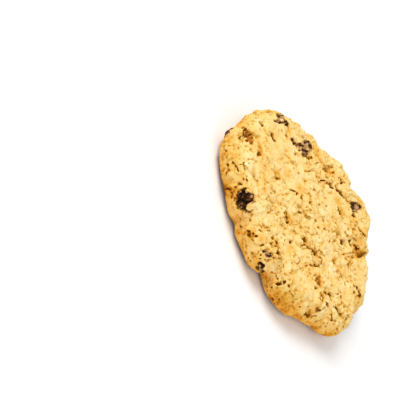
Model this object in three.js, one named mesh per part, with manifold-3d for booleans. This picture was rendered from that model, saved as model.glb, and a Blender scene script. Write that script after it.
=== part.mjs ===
// An oat and raisin biscuit, lying flat with its craggy top upwards.
// It is one piece of baked dough, with raisins that each sit in a pocket of their own.
// Millimetres, +Z up. The origin is under the middle of the biscuit, on the surface that it lies on.

import * as THREE from "three";
import { ImprovedNoise } from "three/addons/math/ImprovedNoise.js";
import { mergeVertices } from "three/addons/utils/BufferGeometryUtils.js";
import Module from "manifold-3d";

// Driving dimensions of the dough.
const DIAMETER = 78;
const THICKNESS = 12.2;
const SHOULDER = 7; // how far the top edge rounds in from the outline
const HEEL = 4.5; // how far the bottom edge rounds in
const WAIST = 5.2; // height of the widest part of the rim
const FACET = 1.56; // length of a facet on the top and the rim
const BASE_FACET = 3.4; // length of a facet on the flat underside
const SEED = 41;

// The outline's lobes: their number all round, how far each swings out, and the angle of one in degrees.
const LOBES = [
  { waves: 2, swing: 1, points: 12 },
  { waves: 3, swing: 1, points: -32 },
  { waves: 4, swing: 0.8, points: -8 },
  { waves: 5, swing: 0.6, points: 7 },
];

// Dents where the rim has cracked open as the dough spread. Where the depth is below 0 it is a bulge.
const DENTS = [
  { angle: 8, width: 8, depth: 1.7 },
  { angle: 29, width: 9, depth: -0.6 },
  { angle: 47, width: 4.5, depth: 1.7 },
  { angle: 59.5, width: 5.5, depth: 2.4 },
  { angle: 96.5, width: 4.8, depth: 4.8 },
  { angle: 118, width: 8, depth: -0.3 },
  { angle: 131, width: 6, depth: 1.1 },
  { angle: 145, width: 6, depth: 0.6 },
  { angle: 157, width: 6, depth: 1.2 },
  { angle: -160, width: 9, depth: 0.5 },
  { angle: -149, width: 5, depth: -1.2 },
  { angle: -140, width: 9, depth: -1 },
  { angle: -120, width: 10, depth: 1.3 },
  { angle: -101, width: 3.5, depth: 2.3 },
  { angle: -88, width: 6, depth: 0.6 },
  { angle: -69, width: 5, depth: 3.9 },
  { angle: -52, width: 6, depth: -0.8 },
  { angle: -43, width: 4, depth: -1.2 },
  { angle: -29, width: 8, depth: 1.4 },
  { angle: -12, width: 7, depth: -0.6 },
];

// The far half of the top's edge warps up and down in waves, highest at this angle.
const WARP = { waves: 3, rise: 0.9, points: 88 };

// Relief of the baked surface: the size of the lumps and how far they stand up.
const SWELL = { size: 24, rise: 0.7 };
const CRAG = { size: 8.5, rise: 0.75 };
const CRUMB = { size: 3, rise: 0.32 };
const RELIEF_FOOT = 0.6; // below this height the rim is smooth
const RELIEF_FULL = 3; // above this height the relief is at its full depth

// Rolled oats that show through the dough, on the top and round the rim.
const FLAKE = { long: 6, wide: 4.2, rise: 0.5, tip: 0.12 };
const TOP_FLAKES = 150;
const RIM_FLAKES = 64;
const RIM_FLAKE_HEIGHTS = [2.5, 8.5];

// Open cracks in the top, from one end to the other as seen from above.
const CRACK_WOBBLE = 0.7;
const CRACKS = [
  { from: [-29, 2], to: [-24, 6.5], width: 2.2, depth: 1.3 },
  { from: [-6, 28], to: [-5, 21], width: 2.2, depth: 1.5 },
  { from: [-5, 21], to: [-0.5, 23.5], width: 2, depth: 1.2 },
  { from: [-9.5, 13], to: [-6, 18], width: 2, depth: 1 },
  { from: [6.5, -15], to: [14.5, -9], width: 2.4, depth: 1.5 },
  { from: [17, -11], to: [15.5, -18.5], width: 2, depth: 1 },
  { from: [26.5, -11], to: [27, -18], width: 2, depth: 1.1 },
  { from: [31, -15], to: [37, -14], width: 2.2, depth: 1.2 },
  { from: [33, -11.5], to: [38.5, -6.5], width: 2.2, depth: 1.3 },
  { from: [28.5, -4], to: [32, -7], width: 1.8, depth: 0.8 },
  { from: [19.2, 10], to: [19.6, 18], width: 2.2, depth: 1.4 },
  { from: [9, 6.5], to: [10, 10], width: 2, depth: 1 },
  { from: [25, -25], to: [32, -22.5], width: 2.4, depth: 1.3 },
  { from: [-35, -9], to: [-32, -13], width: 1.8, depth: 0.8 },
];

// Hollows in the top where the crumb has sunk or broken away.
const HOLLOWS = [
  { at: [18.6, 19], width: 7, depth: 2.6 },
  { at: [-12, 20.5], width: 6, depth: 1.3 },
  { at: [21, -16.8], width: 5, depth: 1.3 },
  { at: [-1.5, -18.5], width: 5.5, depth: 0.9 },
  { at: [18, -1], width: 4.5, depth: 1 },
  { at: [5, -31], width: 8, depth: 0.8 },
  { at: [17, -32], width: 3.4, depth: 1.1 },
  { at: [7, -15], width: 3.6, depth: 1.2 },
];

// Cracks that run down the rim, as many as this all round.
const RIM_CRACKS = 17;
const RIM_CRACK = { width: 2.4, depth: 1.1 };

// Raisins that show in the top, from above: the middle of each, its size, the way that its length runs
// in degrees, and how far its middle is sunk below the dough. The paler ones are sultanas.
const TOP_RAISINS = [
  { at: [-34, 4.2], long: 8.4, wide: 5.2, turn: 65, sunk: 0.9 },
  { at: [-22.6, 11.8], long: 11, wide: 6.4, turn: 98, sunk: 0.8 },
  { at: [-12.4, -34], long: 7.8, wide: 6.2, turn: 8, sunk: 0.7 },
  { at: [3.6, 29.6], long: 9, wide: 5.4, turn: 74, sunk: 0.9 },
  { at: [-32.6, -20.4], long: 7.4, wide: 4.6, turn: 8, sunk: 0.8, pale: true },
  { at: [6.6, -34.8], long: 4.2, wide: 3.4, turn: 10, sunk: 0.5 },
  { at: [31, 7], long: 5.6, wide: 4, turn: 40, sunk: 0.8 },
  { at: [29.6, -20], long: 4.4, wide: 3.6, turn: 20, sunk: 0.6, pale: true },
];

// Raisins in the rim, by their angle round the biscuit and their height.
const RIM_RAISINS = [
  { angle: -149.5, height: 5.2, long: 7.4, wide: 5, turn: 25, sunk: 1.5 },
  { angle: -75, height: 6, long: 6, wide: 4, turn: -15, sunk: 0.6 },
  { angle: 28, height: 4.8, long: 8.4, wide: 6, turn: 10, sunk: 0.7 },
  { angle: 78, height: 5.2, long: 7.6, wide: 5.6, turn: 40, sunk: 0.9 },
  { angle: 148, height: 4.6, long: 9, wide: 5.8, turn: -15, sunk: 0.8 },
];

// Raisins pressed flat against the baking sheet, level with the underside.
const BASE_RAISINS = [
  { at: [-14, 9], long: 9, wide: 6.4, turn: 30 },
  { at: [17, -12], long: 8, wide: 6, turn: -50 },
];
const BASE_LEVEL = 0.1; // height of their flat sides
const BASE_PRESSED = 0.5; // how much of the lower half is left, as a share of its depth

// A raisin's folds run from end to end.
const RAISIN_FLATNESS = 0.72; // thickness as a share of the width
const RAISIN_FOLDS = 5;
const RAISIN_FOLD_DEPTH = 0.13;
const RAISIN_SEGMENTS = [16, 8];
const POCKET_GAP = 0.3;

const { degToRad, lerp, seededRandom, smoothstep } = THREE.MathUtils;
const GOLDEN_ANGLE = Math.PI * (3 - Math.sqrt(5));
const UP = new THREE.Vector3(0, 0, 1);

const doughMaterial = new THREE.MeshStandardMaterial({
  name: "dough",
  color: 0xdca65c,
  roughness: 0.9,
  metalness: 0,
});
const raisinMaterial = new THREE.MeshStandardMaterial({
  name: "raisin",
  color: 0x2a1a16,
  roughness: 0.55,
  metalness: 0,
});
const sultanaMaterial = new THREE.MeshStandardMaterial({
  name: "sultana",
  color: 0x7a4a22,
  roughness: 0.6,
  metalness: 0,
});

const wasm = await Module();
wasm.setup();
const noise = new ImprovedNoise();
seededRandom(SEED);

function randomBetween(low, high) {
  return lerp(low, high, seededRandom());
}

// Smooth noise from about -1 to 1 whose lumps have this size.
function lumps(point, size) {
  return noise.noise(point.x / size, point.y / size, point.z / size);
}

// The shortest way from one angle to another, in radians.
function angleBetween(a, b) {
  return Math.atan2(Math.sin(a - b), Math.cos(a - b));
}

// The dough's outline, as a radius for each angle.
function outlineRadius(angle) {
  let radius = DIAMETER / 2;
  for (const { waves, swing, points } of LOBES) {
    radius += swing * Math.cos(waves * (angle - degToRad(points)));
  }
  for (const { angle: middle, width, depth } of DENTS) {
    const away = angleBetween(angle, degToRad(middle)) / degToRad(width);
    radius -= depth * Math.exp(-away * away);
  }
  return radius;
}

// The height of the top's edge for each angle.
function edgeHeight(angle) {
  const farSide = smoothstep(Math.sin(angle), 0, 0.5);
  return THICKNESS + WARP.rise * farSide * Math.cos(WARP.waves * (angle - degToRad(WARP.points)));
}

// The rings of the rounded rim under its relief: a quarter turn from the top's edge to the waist, then one
// to the underside. Each ring gives its radius and height at an angle, and how far it faces out and up.
function shoulderLine(turn) {
  const [out, up] = [Math.cos(turn), Math.sin(turn)];
  return {
    radiusAt: (angle) => outlineRadius(angle) - SHOULDER * (1 - out),
    heightAt: (angle) => lerp(WAIST, edgeHeight(angle), up),
    outward: out / SHOULDER,
    upward: up / (THICKNESS - WAIST),
  };
}

function heelLine(turn) {
  const [out, down] = [Math.cos(turn), Math.sin(turn)];
  return {
    radiusAt: (angle) => outlineRadius(angle) - HEEL * (1 - out),
    heightAt: () => WAIST * (1 - down),
    outward: out / HEEL,
    upward: -down / WAIST,
  };
}

// The rings of the top and of the flat underside, by their share of the way out to the rim.
function topLine(share) {
  return {
    radiusAt: (angle) => share * (outlineRadius(angle) - SHOULDER),
    heightAt: (angle) => lerp(THICKNESS, edgeHeight(angle), share * share),
    outward: 0,
    upward: 1,
  };
}

function baseLine(share) {
  return {
    radiusAt: (angle) => share * (outlineRadius(angle) - HEEL),
    heightAt: () => 0,
    outward: 0,
    upward: -1,
  };
}

// A point of the smooth dough on a ring, with the way that the surface faces there.
function skinAt(line, angle) {
  const radius = line.radiusAt(angle);
  const [x, y] = [Math.cos(angle), Math.sin(angle)];
  return {
    point: new THREE.Vector3(radius * x, radius * y, line.heightAt(angle)),
    normal: new THREE.Vector3(line.outward * x, line.outward * y, line.upward).normalize(),
  };
}

// The smooth dough's upper side at a place seen from above.
function skinAbove(x, y) {
  const angle = Math.atan2(y, x);
  const radius = Math.hypot(x, y);
  const inner = outlineRadius(angle) - SHOULDER;
  if (radius <= inner) return skinAt(topLine(radius / inner), angle);
  return skinAt(shoulderLine(Math.acos(Math.min(1, (radius - inner) / SHOULDER))), angle);
}

// The smooth dough's rim at a height.
function skinBeside(angle, height) {
  if (height >= WAIST) {
    return skinAt(shoulderLine(Math.asin((height - WAIST) / (edgeHeight(angle) - WAIST))), angle);
  }
  return skinAt(heelLine(Math.asin(1 - height / WAIST)), angle);
}

// Two directions along a surface: the first turned this far from level, the second square to it.
function alongSurface(normal, turn) {
  const level = Math.abs(normal.z) > 0.9 ? new THREE.Vector3(1, 0, 0) : UP.clone().cross(normal);
  const along = level.projectOnPlane(normal).normalize().applyAxisAngle(normal, turn);
  return { along, across: normal.clone().cross(along) };
}

function makeFlake({ point, normal }) {
  return {
    point,
    ...alongSurface(normal, randomBetween(0, Math.PI)),
    long: (FLAKE.long / 2) * randomBetween(0.75, 1.15),
    wide: (FLAKE.wide / 2) * randomBetween(0.75, 1.15),
    rise: FLAKE.rise * randomBetween(0.5, 1.2),
    tip: FLAKE.tip * randomBetween(-1, 1),
  };
}

// Oats spread evenly over the top by the golden angle, and round the rim by equal steps.
function scatterFlakes() {
  const flakes = [];
  for (let i = 0; i < TOP_FLAKES; i++) {
    const angle = i * GOLDEN_ANGLE + randomBetween(-0.1, 0.1);
    const radius = Math.sqrt((i + 0.5) / TOP_FLAKES) * (outlineRadius(angle) - 1);
    flakes.push(makeFlake(skinAbove(radius * Math.cos(angle), radius * Math.sin(angle))));
  }
  for (let i = 0; i < RIM_FLAKES; i++) {
    const angle = (2 * Math.PI * (i + randomBetween(-0.4, 0.4))) / RIM_FLAKES;
    flakes.push(makeFlake(skinBeside(angle, randomBetween(...RIM_FLAKE_HEIGHTS))));
  }
  return flakes;
}

// How far the oats lift the surface at a point.
function flakeRise(point, flakes) {
  let highest = 0;
  const away = new THREE.Vector3();
  for (const flake of flakes) {
    away.subVectors(point, flake.point);
    if (away.lengthSq() > flake.long * flake.long) continue;
    const [u, v] = [away.dot(flake.along), away.dot(flake.across)];
    const inside = 1 - (u / flake.long) ** 2 - (v / flake.wide) ** 2;
    if (inside <= 0) continue;
    highest = Math.max(highest, flake.rise * smoothstep(inside, 0, 0.45) + flake.tip * u);
  }
  return highest;
}

// How deep the cracks and hollows of the top are at a point.
function topBreaks(point) {
  const place = new THREE.Vector2(point.x, point.y);
  const wobble = CRACK_WOBBLE * lumps(point, CRUMB.size);
  let deepest = 0;
  for (const { from, to, width, depth } of CRACKS) {
    const start = new THREE.Vector2(...from);
    const run = new THREE.Vector2(...to).sub(start);
    const share = THREE.MathUtils.clamp(place.clone().sub(start).dot(run) / run.lengthSq(), 0, 1);
    const away = Math.abs(start.addScaledVector(run, share).distanceTo(place) + wobble);
    deepest = Math.max(deepest, depth * (1 - away / (width / 2)));
  }
  for (const { at, width, depth } of HOLLOWS) {
    const away = place.distanceTo(new THREE.Vector2(...at)) + wobble;
    deepest = Math.max(deepest, depth * (1 - smoothstep(away, 0, width / 2)));
  }
  return deepest;
}

function scatterRimCracks() {
  return Array.from({ length: RIM_CRACKS }, (_, i) => ({
    angle: (2 * Math.PI * (i + randomBetween(-0.35, 0.35))) / RIM_CRACKS,
    lean: randomBetween(-0.5, 0.5),
    depth: RIM_CRACK.depth * randomBetween(0.5, 1.3),
  }));
}

// How deep the cracks of the rim are at a point.
function rimBreaks(point, rimCracks) {
  const angle = Math.atan2(point.y, point.x);
  const wobble = CRACK_WOBBLE * lumps(point, CRUMB.size);
  let deepest = 0;
  for (const crack of rimCracks) {
    const along = (angleBetween(angle, crack.angle) * DIAMETER) / 2;
    const away = Math.abs(along + crack.lean * (point.z - WAIST) + wobble);
    deepest = Math.max(deepest, crack.depth * (1 - away / (RIM_CRACK.width / 2)));
  }
  return deepest * smoothstep(THICKNESS - point.z, 0.5, 3);
}

// How far the real surface stands out from the smooth dough at a point, along the way that it faces.
function relief(point, flakes, rimCracks) {
  const swell = SWELL.rise * lumps(point, SWELL.size);
  const crag = CRAG.rise * (0.5 - 2 * Math.abs(lumps(point, CRAG.size)));
  const crumb = CRUMB.rise * lumps(point, CRUMB.size);
  const breaks = point.z > WAIST ? topBreaks(point) : 0;
  const height = swell + crag + crumb + flakeRise(point, flakes);
  const whole = height - Math.max(breaks, rimBreaks(point, rimCracks));
  return whole * smoothstep(point.z, RELIEF_FOOT, RELIEF_FULL);
}

// The rings of the dough from the middle of its top, over the rim, to the middle of the underside.
function doughLines() {
  const topRings = Math.round((DIAMETER / 2 - SHOULDER) / FACET);
  const shoulderRings = Math.round((Math.PI * SHOULDER) / 2 / FACET);
  const heelRings = Math.round((Math.PI * HEEL) / 2 / FACET / 1.3);
  const baseRings = Math.round((DIAMETER / 2 - HEEL) / BASE_FACET);
  const quarter = Math.PI / 2;
  const lines = [];
  for (let i = 0; i < topRings; i++) {
    lines.push({ line: topLine(i / topRings), facet: FACET });
  }
  for (let i = 0; i < shoulderRings; i++) {
    lines.push({ line: shoulderLine(quarter * (1 - i / shoulderRings)), facet: FACET });
  }
  for (let i = 0; i < heelRings; i++) {
    lines.push({ line: heelLine((quarter * i) / heelRings), facet: FACET * 1.2 });
  }
  for (let i = baseRings; i >= 0; i--) {
    const facet = lerp(BASE_FACET, FACET * 2, i / baseRings);
    lines.push({ line: baseLine(i / baseRings), facet });
  }
  return lines;
}

// A strip of triangles between two rings that may hold different numbers of points.
function stitch(inner, outer, triangles) {
  const at = (ring, i) => ring.first + (i % ring.count);
  let [i, j] = [0, 0];
  while (i < inner.count || j < outer.count) {
    const outerNext = j < outer.count && (j + 1) * inner.count <= (i + 1) * outer.count;
    if (inner.count === 1 || (outerNext && outer.count > 1) || i >= inner.count) {
      triangles.push(at(inner, i), at(outer, j), at(outer, j + 1));
      j++;
      if (inner.count === 1 && j === outer.count) break;
    } else {
      triangles.push(at(inner, i), at(outer, j), at(inner, i + 1));
      i++;
      if (outer.count === 1 && i === inner.count) break;
    }
  }
}

// The dough before its pockets are cut.
function doughGeometry() {
  const flakes = scatterFlakes();
  const rimCracks = scatterRimCracks();
  const positions = [];
  const triangles = [];
  let last = null;
  for (const { line, facet } of doughLines()) {
    const around = 2 * Math.PI * line.radiusAt(0);
    const ring = { first: positions.length / 3, count: Math.max(1, Math.round(around / facet)) };
    for (let i = 0; i < ring.count; i++) {
      const { point, normal } = skinAt(line, (2 * Math.PI * i) / ring.count);
      point.addScaledVector(normal, relief(point, flakes, rimCracks));
      positions.push(point.x, point.y, point.z);
    }
    if (last) stitch(last, ring, triangles);
    last = ring;
  }
  const geometry = new THREE.BufferGeometry();
  geometry.setAttribute("position", new THREE.Float32BufferAttribute(positions, 3));
  geometry.setIndex(triangles);
  return geometry;
}

// A raisin with its length along X and its thickness along Z, larger all round by the gap.
function raisinGeometry({ long, wide, pressed = 1 }, gap) {
  const geometry = new THREE.SphereGeometry(1, ...RAISIN_SEGMENTS).rotateZ(-Math.PI / 2);
  const vertices = geometry.getAttribute("position");
  const thick = wide * RAISIN_FLATNESS;
  const vertex = new THREE.Vector3();
  for (let i = 0; i < vertices.count; i++) {
    vertex.fromBufferAttribute(vertices, i);
    const around = Math.atan2(vertex.z, vertex.y);
    const girth = Math.hypot(vertex.y, vertex.z);
    const wave = 0.5 + 0.5 * Math.cos(RAISIN_FOLDS * around + 2 * vertex.x);
    const fold = 1 - RAISIN_FOLD_DEPTH * girth * wave;
    vertex.multiply(new THREE.Vector3(long / 2 + gap, wide / 2 + gap, thick / 2 + gap));
    const lowest = -pressed * (thick / 2 + gap);
    vertices.setXYZ(i, vertex.x, vertex.y * fold, Math.max(vertex.z * fold, lowest));
  }
  return geometry;
}

// Where a raisin lies: its length along the surface, its thickness square to it.
function raisinPlace({ point, normal }, { turn, sunk }) {
  const { along, across } = alongSurface(normal, degToRad(turn));
  const turned = new THREE.Matrix4().makeBasis(along, across, normal);
  const position = point.clone().addScaledVector(normal, -sunk);
  return { position, rotation: new THREE.Quaternion().setFromRotationMatrix(turned) };
}

function baseSkin({ at, wide }) {
  const middle = BASE_LEVEL + (BASE_PRESSED * wide * RAISIN_FLATNESS) / 2;
  return { point: new THREE.Vector3(...at, middle), normal: UP.clone() };
}

// Every raisin with its place in the dough.
function placedRaisins() {
  const onTop = TOP_RAISINS.map((raisin) => [raisin, skinAbove(...raisin.at)]);
  const onRim = RIM_RAISINS.map((raisin) => [raisin, skinBeside(degToRad(raisin.angle), raisin.height)]);
  const pressedFlat = { sunk: 0, pressed: BASE_PRESSED };
  const onBase = BASE_RAISINS.map((raisin) => [{ ...raisin, ...pressedFlat }, baseSkin(raisin)]);
  return [...onTop, ...onRim, ...onBase].map(([raisin, skin]) => ({
    raisin,
    ...raisinPlace(skin, raisin),
  }));
}

// A closed geometry as a solid that can be cut.
function solidOf(geometry) {
  const bare = geometry.clone();
  bare.deleteAttribute("normal");
  bare.deleteAttribute("uv");
  const merged = mergeVertices(bare, 1e-4);
  return new wasm.Manifold(
    new wasm.Mesh({
      numProp: 3,
      vertProperties: new Float32Array(merged.getAttribute("position").array),
      triVerts: new Uint32Array(merged.index.array),
    }),
  );
}

function geometryOf(solid) {
  const { vertProperties, triVerts } = solid.getMesh();
  const geometry = new THREE.BufferGeometry();
  geometry.setAttribute("position", new THREE.BufferAttribute(vertProperties, 3));
  geometry.setIndex(new THREE.BufferAttribute(triVerts, 1));
  geometry.computeVertexNormals();
  return geometry;
}

// The dough with a pocket for each raisin. Crumbs that the cuts set loose are dropped.
function pocketedDough(raisins) {
  let dough = solidOf(doughGeometry());
  for (const { raisin, position, rotation } of raisins) {
    const place = new THREE.Matrix4().compose(position, rotation, new THREE.Vector3(1, 1, 1));
    dough = dough.subtract(solidOf(raisinGeometry(raisin, POCKET_GAP).applyMatrix4(place)));
  }
  const pieces = dough.decompose().sort((a, b) => b.volume() - a.volume());
  return geometryOf(pieces[0]);
}

function buildBiscuit() {
  const raisins = placedRaisins();
  const dough = new THREE.Mesh(pocketedDough(raisins), doughMaterial);
  dough.name = "dough";
  const biscuit = new THREE.Group().add(dough);
  raisins.forEach(({ raisin, position, rotation }, i) => {
    const material = raisin.pale ? sultanaMaterial : raisinMaterial;
    const mesh = new THREE.Mesh(raisinGeometry(raisin, 0), material.clone());
    mesh.name = `raisin_${i + 1}`;
    mesh.position.copy(position);
    mesh.quaternion.copy(rotation);
    biscuit.add(mesh);
  });
  const middle = new THREE.Box3().setFromObject(biscuit, true).getCenter(new THREE.Vector3());
  biscuit.position.set(-middle.x, -middle.y, 0);
  return new THREE.Group().add(biscuit);
}

export default buildBiscuit();
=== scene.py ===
"""An oat biscuit with raisins, baked golden and cracked, lying on a white table."""

import math

import bmesh
import bpy
import numpy as np
from mathutils import Color, Matrix, Vector
from mathutils.bvhtree import BVHTree
from mathutils.kdtree import KDTree


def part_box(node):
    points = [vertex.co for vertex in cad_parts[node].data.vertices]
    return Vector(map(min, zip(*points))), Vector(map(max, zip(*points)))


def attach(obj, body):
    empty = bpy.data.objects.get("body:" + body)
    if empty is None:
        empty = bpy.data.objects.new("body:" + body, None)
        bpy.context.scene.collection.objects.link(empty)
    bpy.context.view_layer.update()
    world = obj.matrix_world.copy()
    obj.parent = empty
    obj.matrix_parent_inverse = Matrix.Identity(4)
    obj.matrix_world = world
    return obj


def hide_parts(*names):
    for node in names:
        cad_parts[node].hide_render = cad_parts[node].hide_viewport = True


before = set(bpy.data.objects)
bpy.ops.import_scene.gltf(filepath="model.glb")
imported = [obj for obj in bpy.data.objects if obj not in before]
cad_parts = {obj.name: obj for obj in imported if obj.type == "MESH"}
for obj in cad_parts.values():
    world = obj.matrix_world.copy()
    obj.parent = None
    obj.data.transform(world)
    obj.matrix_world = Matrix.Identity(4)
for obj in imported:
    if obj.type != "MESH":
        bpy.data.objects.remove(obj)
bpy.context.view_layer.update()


# The dough: rolled oats, flour, butter, syrup and sugar, baked in one piece.
# The oats lie in the crumb as flat flakes, and the top has cracked and pitted as it
# spread and dried in the oven. It is browner along its rim, and its colour is darker
# in its hollows, cracks and nooks, which is painted shade.
MM = 0.001
# Sizes are in mm, and in metres where they are times MM.
SAME_PLACE = 0.001 * MM
DOUGH_GRID = 0.63 * MM
# The dough gets finer faces above this height. Its sole stays coarse.
SOLE_HEIGHT = 0.9 * MM
FACET_SMOOTHINGS = 7
FACES_KEPT = 0.82
# How far the dough covers each raisin: not at all at 0, with a film at 0.5 and wholly at 1.
COVER = {
    "raisin_1": 1.0,
    "raisin_2": 1.0,
    "raisin_3": 0.02,
    "raisin_4": 1.0,
    "raisin_5": 1.0,
    "raisin_6": 1.0,
    "raisin_7": 1.0,
    "raisin_8": 1.0,
    "raisin_9": 1.0,
    "raisin_10": 1.0,
    "raisin_11": 0.1,
    "raisin_12": 0.08,
    "raisin_13": 0.1,
    "raisin_14": 0.08,
    "raisin_15": 0.06,
}


def shape_of(*meshes):
    """A bmesh that holds these meshes."""
    shape = bmesh.new()
    for mesh in meshes:
        shape.from_mesh(mesh)
    return shape


def evened(name, nodes, grid):
    """A new piece with the form of these solids, rebuilt from even square faces."""
    shape = shape_of(*(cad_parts[node].data for node in nodes))
    bmesh.ops.remove_doubles(shape, verts=shape.verts, dist=SAME_PLACE)
    rough = bpy.data.meshes.new(name)
    shape.to_mesh(rough)
    shape.free()
    piece = bpy.data.objects.new(name, rough)
    bpy.context.scene.collection.objects.link(piece)
    rebuild = piece.modifiers.new("even_faces", "REMESH")
    rebuild.mode = "VOXEL"
    rebuild.voxel_size = grid
    seen = piece.evaluated_get(bpy.context.evaluated_depsgraph_get())
    even = bpy.data.meshes.new_from_object(seen)
    piece.modifiers.clear()
    piece.data = even
    bpy.data.meshes.remove(rough)
    even.name = name
    return piece


def smoothed(shape, rounds):
    """Evens out a bmesh's facets by this many rounds of smoothing."""
    every_way = {"use_axis_x": True, "use_axis_y": True, "use_axis_z": True}
    for _ in range(rounds):
        bmesh.ops.smooth_vert(shape, verts=shape.verts, factor=0.5, **every_way)


dough = evened("dough_baked", ["dough", *COVER], DOUGH_GRID)
shape = shape_of(dough.data)
risen_faces = {face for face in shape.faces if face.calc_center_median().z > SOLE_HEIGHT}
risen_edges = [edge for edge in shape.edges if not risen_faces.isdisjoint(edge.link_faces)]
bmesh.ops.subdivide_edges(shape, edges=risen_edges, cuts=1, use_grid_fill=True)
smoothed(shape, FACET_SMOOTHINGS)
plain_dough = BVHTree.FromBMesh(shape)
shape.to_mesh(dough.data)
shape.free()

# The dough runs on over the raisins, and dips under their skins where they are bare.
# Two ends say where something is nothing and where it is full. A waver or fray says how
# far it goes, in lumps of what size, and from which seed.
COVER_REACH = 0.7
COVER_ENDS = (0.48, 0.18)
COVER_WAVER = (0.15, 0.9, 14)
COVER_FRAY = (0.25, 0.9, 24)
COVER_SPOT_ENDS = (1.15, 0.85)
COVER_RISE = 0.3
COVER_SMOOTHINGS = 12
BARE_ENDS = (0.62, 0.46)
BARE_DEPTH = 2.8
# The top is measured at a slant, which narrows its spots, cracks and pits this way.
SLANT = (1.0, 0.55, 1.0)
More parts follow.
